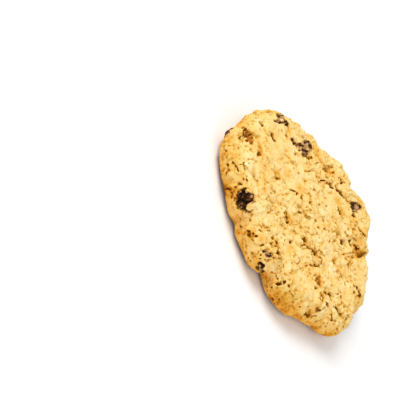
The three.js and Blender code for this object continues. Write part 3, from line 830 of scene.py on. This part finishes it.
RIM_BROWNED_AND_SHADED = [
    (0.9, 5.0, (304, 7)),
    (0.9, 4.5, (311, 6.5)),
    (0.7, 4.0, (296, 4)),
    (0.8, 4.5, (242, 4)),
    (1.7, 3.5, (302.5, 5.5)),
    (1.6, 3.5, (309, 4)),
    (1.8, 2.0, (244, 6.5)),
    (1.5, 1.6, (322, 7.3)),
    (1.2, 2.0, (291, 3)),
    (2.2, 3.0, (241.5, 2.5)),
    (1.2, 2.5, (236.5, 2)),
    (1.2, 2.0, (245.5, 4.5)),
    (2.0, 2.0, (267.5, 8)),
    (1.2, 1.8, (265.5, 5.5)),
    (0.8, 1.5, (269.5, 9.8)),
    (1.8, 2.5, (316, 5.5)),
    (1.7, 2.5, (306, 6)),
    (1.7, 2.5, (342, 6)),
    (1.8, 2.5, (302, 2.5)),
    (1.6, 1.5, (341, 6)),
    (1.8, 1.5, (344, 7)),
    (1.4, 2.0, (299, 6.5)),
    (1.2, 2.0, (264, 3)),
    (1.3, 2.0, (320.5, 4.5)),
    (1.3, 2.5, (342, 3.5)),
    (1.2, 2.5, (334, 4)),
]
# Some of these pale spots, below the big raisin at the rim, lighten a shaded slope: painted light.
PALE_AND_LIT = [
    (1.0, 3.0, (13.5, -1.5)),
    (0.9, 2.5, (19.5, -5.5)),
    (0.9, 2.5, (26, -1.5)),
    (0.6, 3.0, (-14, -2)),
    (0.7, 3.0, (-6.5, -22)),
    (0.8, 2.5, (-5.5, -15.5)),
    (0.3, 3.5, (3, -30)),
    (0.7, 3.0, (-22.5, -28.5)),
    (0.5, 2.5, (11, -31)),
    (0.5, 2.5, (8.5, -7)),
    (0.4, 3.5, (19, -29)),
    (0.7, 2.0, (28.5, -10.5)),
    (0.5, 3.0, (-15, -31.5)),
    (0.8, 3.0, (-8.5, -34.5)),
    (0.8, 3.0, (-6, -34.5)),
    (0.6, 3.0, (31.5, -17)),
    (0.9, 2.5, (-11, -35)),
    (0.6, 2.0, (17, 14)),
    (0.8, 2.0, (-9, -35)),
    (0.8, 2.0, (-15, -24.5)),
    (0.8, 2.0, (13.5, -5.5)),
]
RIM_PALE = [
    (1.0, 2.5, (286, 7.7)),
    (0.9, 2.5, (290.5, 7.6)),
    (1.0, 2.0, (282, 9.5)),
    (1.0, 2.0, (278, 8.8)),
    (1.0, 2.5, (277, 6)),
    (1.2, 2.5, (316.5, 9.3)),
    (1.0, 2.5, (256, 4.5)),
    (1.5, 2.0, (288.5, 7.2)),
    (0.9, 2.5, (260.5, 7.5)),
    (1.3, 3.0, (257.5, 8.5)),
    (0.8, 2.0, (229, 6)),
    (0.9, 2.0, (290.5, 5.5)),
    (1.4, 2.5, (277, 4.5)),
    (1.2, 2.0, (258.5, 8)),
]


def write_values(piece, **values):
    """Keeps a value for each vertex under its name, for the material to read."""
    for name, value in values.items():
        kept = piece.data.attributes.new(name, "FLOAT", "POINT")
        kept.data.foreach_set("value", value.astype(np.float32))


# The colour darkens in hollows and pales a little on ridges: painted shade and painted light.
close_by = spread(rise, pairs, CLOSE_SPREADS)
around = spread(close_by, pairs, AROUND_SPREADS)
hollow = (close_by - rise) / CLOSE_DEPTH + (around - rise) / AROUND_DEPTH - HOLLOW_FROM
browned = strongest(laid(on_top, BROWNED) + laid(on_rim, RIM_BROWNED_AND_SHADED), TINT_ENDS)
browned = np.maximum(browned, RIM_BROWNING * rising(upturned, *RIM_ENDS))
pale = strongest(laid(on_top, PALE_AND_LIT) + laid(on_rim, RIM_PALE), TINT_ENDS)
# The dough is paler where it dips under a raisin's bare edge, against the shade there: painted
# light.
pale = np.maximum(pale, np.clip(FRINGE_PAINTED_LIGHT * fringe, 0, 1))
sole = rising(upturned, *SOLE_ENDS)
# The foot of the rim that faces sideways and down gets a warmer tint: toasting and painted warm
# shade.
toasted = rising(upturned, *TOASTED_AND_SHADED_ENDS) * (1 - sole)
write_values(dough, hollow=np.clip(hollow, RIDGE_LEAST, 1), split=split, browned=browned)
write_values(dough, pale=pale, flake=flake_tint, sole=sole, toasted=toasted)


class Finish:
    """A value, colour or vector in a material. Sums on values add the Math nodes for them."""

    def __init__(self, tree, socket=None):
        self.tree = tree
        self.socket = socket

    def add(self, kind, settings=None, sockets=None, output=0):
        """An output of a new node, which gets its settings first and then its sockets."""
        node = self.tree.nodes.new(kind)
        for name, value in (settings or {}).items():
            if name == "stops":
                self.set_stops(node.color_ramp.elements, value)
            else:
                setattr(node, name, value)
        for name, value in (sockets or {}).items():
            if isinstance(value, Finish):
                value.feed(node, name)
            else:
                node.inputs[name].default_value = value
        return Finish(self.tree, node.outputs[output])

    def feed(self, node, socket):
        """Links this to a socket of a node."""
        self.tree.links.new(self.socket, node.inputs[socket])

    def set_stops(self, elements, stops):
        """Gives a ramp these stops, each a position and a colour."""
        for _ in stops[2:]:
            elements.new(1.0)
        for element, (position, shade) in zip(elements, stops):
            element.position = position
            element.color = shade

    def maths(self, operation, *values, clamp=False):
        """A Math node on these values."""
        settings = {"operation": operation, "use_clamp": clamp}
        return self.add("ShaderNodeMath", settings, dict(enumerate(values)))

    def mix(self, share, first, second, blend="MIX"):
        """The first colour turned into the second by a share from 0 to 1."""
        settings = {"data_type": "RGBA", "blend_type": blend, "clamp_factor": True}
        return self.add("ShaderNodeMix", settings, {0: share, 6: first, 7: second}, 2)

    def value(self, name):
        """A value that the piece keeps for each vertex."""
        return self.add("ShaderNodeAttribute", {"attribute_name": name}, output="Fac")

    def noise(self, size, detail, roughness=0.5, shift=(0.0, 0.0, 0.0)):
        """Noise from 0 to 1 in lumps of this size in metres, fixed to the piece but shifted."""
        where = self.add("ShaderNodeTexCoord", output="Object")
        if any(shift):
            where = self.add("ShaderNodeVectorMath", {"operation": "ADD"}, {0: where, 1: shift})
        amounts = {"Vector": where, "Scale": 1 / size, "Detail": detail, "Roughness": roughness}
        return self.add("ShaderNodeTexNoise", sockets=amounts)

    def clamped(self):
        """This value kept from 0 to 1."""
        return self.maths("ADD", self, 0.0, clamp=True)

    def __add__(self, other):
        return self.maths("ADD", self, other)

    def __radd__(self, other):
        return self.maths("ADD", other, self)

    def __sub__(self, other):
        return self.maths("SUBTRACT", self, other)

    def __rsub__(self, other):
        return self.maths("SUBTRACT", other, self)

    def __mul__(self, other):
        return self.maths("MULTIPLY", self, other)

    def __rmul__(self, other):
        return self.maths("MULTIPLY", other, self)


def colour(red, green, blue):
    """A colour as the eye reads it, from 0 to 255, as light for a shader."""
    seen = Color((red / 255, green / 255, blue / 255))
    return (*seen.from_srgb_to_scene_linear(), 1.0)


def new_finish(name, **constants):
    """A new material with these constants on its shader: the material, a start and the shader."""
    material = bpy.data.materials.new(name)
    material.use_nodes = True
    shader = material.node_tree.nodes["Principled BSDF"]
    for socket, value in constants.items():
        shader.inputs[socket.replace("_", " ")].default_value = value
    return material, Finish(material.node_tree), shader


# The dough's colour from its palest to its most baked. Its darker stops also serve as painted
# shade.
BAKING = [
    (0.0, colour(251, 230, 186)),
    (0.2, colour(245, 216, 152)),
    (0.4, colour(236, 202, 126)),
    (0.55, colour(228, 180, 84)),
    (0.7, colour(206, 150, 48)),
    (0.85, colour(164, 108, 20)),
    (1.0, colour(110, 66, 4)),
]
# How far it is baked evenly, and what makes a place of it darker or paler than that:
# browner and paler patches, some of them painted shade and light, the flakes' tint,
# and painted shade in hollows, cracks, nooks and pores.
EVENLY_BAKED = 0.31
BAKED_OR_SHADED_MORE = {"hollow": 0.2, "split": 0.42, "browned": 0.26, "pale": -0.2, "flake": 0.03}
NOOK_PAINTED_SHADE = 0.67
NOOK_SIZE = 1.3 * MM
PORE_PAINTED_SHADE = 0.3
PORE_SIZE = 1.0 * MM
PORES_ABOVE = 0.6
PORE_SHARPNESS = 12
PATCH_BAKING = 0.6
PATCH_SIZE = 7 * MM
SPECK_BAKING = 0.28
SPECK_SIZE = 0.7 * MM
SOLE_BAKING = 0.2
BLOTCH_BAKING = 1.2
BLOTCH_SIZE = 2.4 * MM
# The noise of the sole is shifted, because round the piece's origin it shows a star.
SOLE_SHIFT = (0.3, 0.2, 0.1)
# Syrup warms the colour in patches and where it is browned, and along the foot of the rim,
# where the warmth is toasting and painted warm shade.
SYRUP_WARMTH = colour(255, 240, 214)
SYRUP_SIZE = 5 * MM
SYRUP_ABOVE = 0.48
SYRUP_SHARPNESS = 5
SYRUP_ON_BROWNED_AND_SHADED = 0.9
GRIT_SIZE = 0.35 * MM
GRIT_HEIGHT = 0.25 * MM
GRIT_STRENGTH = 0.8

baked_dough, start, shader = new_finish(
    "baked_dough", Roughness=0.72, IOR=1.45, Specular_IOR_Level=0.08
)
# Ambient occlusion darkens the colour in nooks: painted shade.
openness = start.add("ShaderNodeAmbientOcclusion", {"samples": 8}, {"Distance": NOOK_SIZE}, "AO")
# Pores are dark specks where noise is high: painted shade of small open pores.
pores = ((start.noise(PORE_SIZE, detail=4, roughness=0.6) - PORES_ABOVE) * PORE_SHARPNESS).clamped()
risen = 1 - start.value("sole")
patches = (start.noise(PATCH_SIZE, detail=3) - 0.5) * risen
specks = start.noise(SPECK_SIZE, detail=3, roughness=0.65) - 0.5
blotches = start.noise(BLOTCH_SIZE, detail=4, roughness=0.7, shift=SOLE_SHIFT) - 0.5
baked_or_shaded = EVENLY_BAKED + (1 - openness) * NOOK_PAINTED_SHADE + pores * PORE_PAINTED_SHADE
baked_or_shaded = baked_or_shaded + patches * PATCH_BAKING + specks * SPECK_BAKING
baked_or_shaded = baked_or_shaded + start.value("sole") * (blotches * BLOTCH_BAKING + SOLE_BAKING)
for name, share in BAKED_OR_SHADED_MORE.items():
    baked_or_shaded = baked_or_shaded + start.value(name) * share
crust = start.add("ShaderNodeValToRGB", {"stops": BAKING}, {"Fac": baked_or_shaded})
syrup = start.noise(SYRUP_SIZE, detail=3, roughness=0.6) - SYRUP_ABOVE
syrupy = syrup * SYRUP_SHARPNESS * risen + start.value("browned") * SYRUP_ON_BROWNED_AND_SHADED
crust = start.mix(syrupy.clamped(), crust, SYRUP_WARMTH, "MULTIPLY")
crust = start.mix(start.value("toasted"), crust, SYRUP_WARMTH, "MULTIPLY")
crust.feed(shader, "Base Color")
grit = start.noise(GRIT_SIZE, detail=3, roughness=0.6)
gritty = {"Strength": GRIT_STRENGTH, "Distance": GRIT_HEIGHT, "Height": grit}
start.add("ShaderNodeBump", sockets=gritty).feed(shader, "Normal")
dough.data.materials.clear()
dough.data.materials.append(baked_dough)
dough.data.shade_smooth()
# The flattest stretches, the sole most of all, need fewer faces.
fewer = dough.modifiers.new("fewer_faces", "DECIMATE")
fewer.ratio = FACES_KEPT
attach(dough, "root")
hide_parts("dough")


# The raisins: dried grapes stirred into the dough, shrunk into deep wrinkles along
# their length and nearly black, half sunk in the top and the rim. Sugary bloom and dough
# cling to their skins, so that some show only in places. Their skins carry painted
# glints, and painted shade in their creases.
RAISIN_GRID = 0.24 * MM
RAISIN_SMOOTHINGS = 5
RAISIN_SWELL = 0.2
RAISIN_STRETCH = (1.7, 1.0, 1.0)
FOLD = 1.4
FOLD_ENDS = (0.0, 0.5)
SIDE_FOLD = 0.65
SIDE_FOLD_SHARE = 0.6
WRINKLE_DEPTH = 0.75
DENT = 3.0
DENT_DEPTH = 0.6
# The wrinkles of each raisin are read from another stretch of the noise.
RAISINS_APART = 17.0
COVERED_ENDS = (0.5, 1.0)
COVERED_SINK = 0.4
OVER_TABLE = 0.05
BARE_FILM = 0.05
COVERED_FILM = 1.5
SULTANAS = ["raisin_5", "raisin_8"]
RAISINS = [node for node in COVER if node not in SULTANAS]


def wrinkled(name, nodes, seed):
    """A new piece with the form of these solids, each wrinkled along its length."""
    piece = evened(name, nodes, RAISIN_GRID)
    shape = shape_of(piece.data)
    smoothed(shape, RAISIN_SMOOTHINGS)
    shape.to_mesh(piece.data)
    shape.free()
    places, outward, _ = surface_of(piece)
    middles = middles_of(nodes)
    owner = nearest_of(places, middles)
    rise = np.zeros(len(places))
    dent = np.zeros(len(places))
    for number in range(len(nodes)):
        mine = np.flatnonzero(owner == number)
        away = places[mine] - middles[number]
        _, _, axes = np.linalg.svd(away, full_matrices=False)
        stretched = away @ axes.T / RAISIN_STRETCH + RAISINS_APART * (number + 1)
        folds = lumps(stretched, FOLD, seed)
        folds += SIDE_FOLD_SHARE * lumps(stretched, SIDE_FOLD, seed + 1)
        rise[mine] = rising(np.abs(folds), *FOLD_ENDS) - 1
        dent[mine] = lumps(stretched, DENT, seed + 2)
    cover = cover_over(places)
    covered = rising(cover, *COVERED_ENDS)
    wrinkle = RAISIN_SWELL + WRINKLE_DEPTH * rise + DENT_DEPTH * dent
    places += outward * ((1 - covered) * wrinkle - covered * COVERED_SINK)[:, None]
    places[:, 2] = np.maximum(places[:, 2], OVER_TABLE)
    move_to(piece, places)
    piece.data.shade_smooth()
    piece.data.materials.clear()
    write_values(piece, crease=-rise, cover=cover)
    return piece


def dried_skin(name, shades, gloss, size, roughness, bloom_and_glints, crease, dullness):
    """A dried grape's skin, from bare to thickly dusted, with glints painted on its dusting and
    shade painted in its creases.
    """
    skin, start, shader = new_finish(name, IOR=1.45, Specular_IOR_Level=gloss)
    dust_and_glints = start.noise(size, detail=3, roughness=roughness)
    film_glint_and_shade = BARE_FILM + start.value("cover") * COVERED_FILM + (dust_and_glints - 0.5) * bloom_and_glints
    # Creases are darker: painted shade.
    film_glint_and_shade = film_glint_and_shade - start.value("crease") * crease
    start.add("ShaderNodeValToRGB", {"stops": shades}, {"Fac": film_glint_and_shade}).feed(shader, "Base Color")
    least, more = dullness
    (least + dust_and_glints * more).feed(shader, "Roughness")
    return skin


# A raisin's skin, from bare to thick with bloom. Its paler stops also paint glints on the skin.
RAISIN_BLOOM_AND_GLINTS = [
    (0.0, colour(24, 9, 2)),
    (0.3, colour(86, 53, 22)),
    (0.65, colour(186, 142, 96)),
    (1.0, colour(214, 178, 130)),
]
RAISIN_SKIN = {
    "gloss": 0.04,
    "size": 0.9 * MM,
    "roughness": 0.65,
    "bloom_and_glints": 0.75,
    "crease": 0.12,
    "dullness": (0.45, 0.3),
}

raisins = wrinkled("raisins_wrinkled", RAISINS, seed=21)
raisins.data.materials.append(dried_skin("raisin_skin", RAISIN_BLOOM_AND_GLINTS, **RAISIN_SKIN))
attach(raisins, "root")
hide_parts(*RAISINS)


# The sultanas: paler dried grapes, amber where the light comes through their skin,
# wrinkled like the raisins, sunk in the top and mostly under the dough.

# A sultana's skin, from where it is thickest to where it is thinnest.
SULTANA_AMBER = [
    (0.0, colour(72, 38, 0)),
    (0.3, colour(132, 76, 4)),
    (0.6, colour(198, 122, 38)),
    (1.0, colour(222, 160, 80)),
]
SULTANA_SKIN = {
    "gloss": 0.06,
    "size": 1.2 * MM,
    "roughness": 0.6,
    "bloom_and_glints": 0.6,
    "crease": 0.15,
    "dullness": (0.4, 0.25),
}

sultanas = wrinkled("sultanas_wrinkled", SULTANAS, seed=31)
sultanas.data.materials.append(dried_skin("sultana_skin", SULTANA_AMBER, **SULTANA_SKIN))
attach(sultanas, "root")
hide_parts(*SULTANAS)


# The crumbs: bits of the dough that have baked on to the raisins and along their
# edges, and that lie loose in the crust. They have the dough's own colour and grit.
EDGE_CRUMBS = 60
EDGE_CRUMB_HALF = (0.3, 0.8)
EDGE_LOWEST = -0.1
EDGE_HIGHEST = 0.2
CRUST_CRUMBS = 220
CRUST_CRUMB_HALF = (0.25, 0.6)
CRUST_UPTURNED = 0.8
CRUMB_SIDES = (0.7, 1.0)
CRUMB_FLATNESS = 0.5
# How far a crumb's surface wavers as a share of its half size, in which lumps, from which seed.
JAGS = ((0.35, 0.6, 41), (0.4, 1.3, 42))

crust_tree = skin_tree(dough.data)
skins = [surface_of(piece) for piece in (raisins, sultanas)]
skin_places = np.concatenate([skin[0] for skin in skins])
skin_outward = np.concatenate([skin[1] for skin in skins])
height = np.empty(len(skin_places))
for number, place in enumerate(skin_places):
    touched, touched_outward, _, _ = crust_tree.find_nearest(Vector(place) * MM)
    height[number] = (Vector(place) - touched / MM).dot(touched_outward)
edge = np.flatnonzero((height > EDGE_LOWEST) & (height < EDGE_HIGHEST))
crust_tops = np.flatnonzero(upturned > CRUST_UPTURNED)
crust_places, crust_outward, _ = surface_of(dough)
shape = bmesh.new()
halves = []


def add_crumb(place, outward, half):
    """Adds a flat lump of this half size at a place, turned to the surface there."""
    sizes = half * draw.uniform(*CRUMB_SIDES, 3) * (1, 1, CRUMB_FLATNESS)
    turn = Vector(outward).to_track_quat("Z", "Y").to_matrix()
    turn = turn @ Matrix.Rotation(draw.uniform(0, math.tau), 3, "Z")
    form = Matrix.Translation(Vector(place) * MM) @ (turn @ Matrix.Diagonal(sizes * MM)).to_4x4()
    ball = bmesh.ops.create_icosphere(shape, subdivisions=2, radius=1.0, matrix=form)
    halves.extend([half] * len(ball["verts"]))


for number in draw.choice(edge, EDGE_CRUMBS, replace=False):
    add_crumb(skin_places[number], skin_outward[number], draw.uniform(*EDGE_CRUMB_HALF))
for number in draw.choice(crust_tops, CRUST_CRUMBS, replace=False):
    add_crumb(crust_places[number], crust_outward[number], draw.uniform(*CRUST_CRUMB_HALF))
crumbs_mesh = bpy.data.meshes.new("crumbs_scattered")
shape.to_mesh(crumbs_mesh)
shape.free()
crumbs = bpy.data.objects.new("crumbs_scattered", crumbs_mesh)
bpy.context.scene.collection.objects.link(crumbs)
crumb_places, crumb_outward, _ = surface_of(crumbs)
jagged = halves * sum(share * lumps(crumb_places, size, seed) for share, size, seed in JAGS)
crumb_places += crumb_outward * jagged[:, None]
crumb_places[:, 2] = np.maximum(crumb_places[:, 2], OVER_TABLE)
move_to(crumbs, crumb_places)
crumbs_mesh.materials.append(baked_dough)
crumbs_mesh.shade_smooth()
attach(crumbs, "root")


# The table: a plain white top that runs out of sight on all sides.
# It is a single flat sheet under the biscuit and no part of it.
TABLE_SIDE = 6.0
TABLE_WHITE = (0.9, 0.9, 0.9, 1.0)

sheet = bmesh.new()
bmesh.ops.create_grid(sheet, x_segments=1, y_segments=1, size=TABLE_SIDE / 2)
table_mesh = bpy.data.meshes.new("table")
sheet.to_mesh(table_mesh)
sheet.free()
table = bpy.data.objects.new("table", table_mesh)
bpy.context.scene.collection.objects.link(table)
table_white, _, _ = new_finish("table_white", Roughness=0.6, Base_Color=TABLE_WHITE)
table_mesh.materials.append(table_white)


# The light: a broad soft lamp over the far left, a weaker one low at the near right,
# and white walls all round.
# Each lamp's place and its watts.
LAMPS = {
    "main_lamp": (Vector((-0.68, -0.1, 0.72)), 7.4),
    "side_lamp": (Vector((0.7, -0.5, 0.4)), 2.8),
}
LAMP_SIDE = 0.6
WALL_LIGHT = 0.65

for name, (place, watts) in LAMPS.items():
    light = bpy.data.lights.new(name, "AREA")
    light.size = LAMP_SIDE
    light.energy = watts
    lamp = bpy.data.objects.new(name, light)
    lamp_turn = (-place).to_track_quat("-Z", "Y").to_matrix()
    lamp.matrix_world = Matrix.Translation(place) @ lamp_turn.to_4x4()
    bpy.context.scene.collection.objects.link(lamp)
walls = bpy.data.worlds.new("walls")
walls.use_nodes = True
walls.node_tree.nodes["Background"].inputs["Color"].default_value = (1.0, 1.0, 1.0, 1.0)
walls.node_tree.nodes["Background"].inputs["Strength"].default_value = WALL_LIGHT
bpy.context.scene.world = walls
bpy.context.scene.view_settings.view_transform = "Standard"


# The camera: looks down on the biscuit and is rolled, as the biscuit in the photo leans.
# The place that it aims at falls on a pixel right of the middle of the picture.
PHOTO_SIDE = 420
MIDDLE_PIXEL = (300.9, 218.1)
FOCAL_PIXELS = 1291
CAMERA_DISTANCE = 450 * MM
LOOK_DOWN = math.radians(30)
ROLL = math.radians(67.7)
AIM = Vector((-0.44, -1.67, 6.25)) * MM
SENSOR_WIDTH = 36

backward = Vector((0, -math.cos(LOOK_DOWN), math.sin(LOOK_DOWN)))
upward = Vector((0, math.sin(LOOK_DOWN), math.cos(LOOK_DOWN)))
rightward = Vector((1, 0, 0))
from_centre = [pixel - PHOTO_SIDE / 2 for pixel in MIDDLE_PIXEL]
ray = Vector((from_centre[0], -from_centre[1], -FOCAL_PIXELS)).normalized()
level_up = (Vector((0, 1, 0)) - ray * ray.y).normalized()
level_right = ray.cross(level_up)
up_seen = level_up * math.cos(ROLL) + level_right * math.sin(ROLL)
right_seen = level_right * math.cos(ROLL) - level_up * math.sin(ROLL)
seen_axes = Matrix((right_seen, up_seen, ray)).transposed()
world_axes = Matrix((rightward, upward, -backward)).transposed()
camera_data = bpy.data.cameras.new("camera")
camera_data.sensor_width = SENSOR_WIDTH
camera_data.lens = SENSOR_WIDTH * FOCAL_PIXELS / PHOTO_SIDE
camera = bpy.data.objects.new("camera", camera_data)
camera_turn = world_axes @ seen_axes.transposed()
camera.matrix_world = Matrix.Translation(AIM + backward * CAMERA_DISTANCE) @ camera_turn.to_4x4()
bpy.context.scene.collection.objects.link(camera)
bpy.context.scene.camera = camera
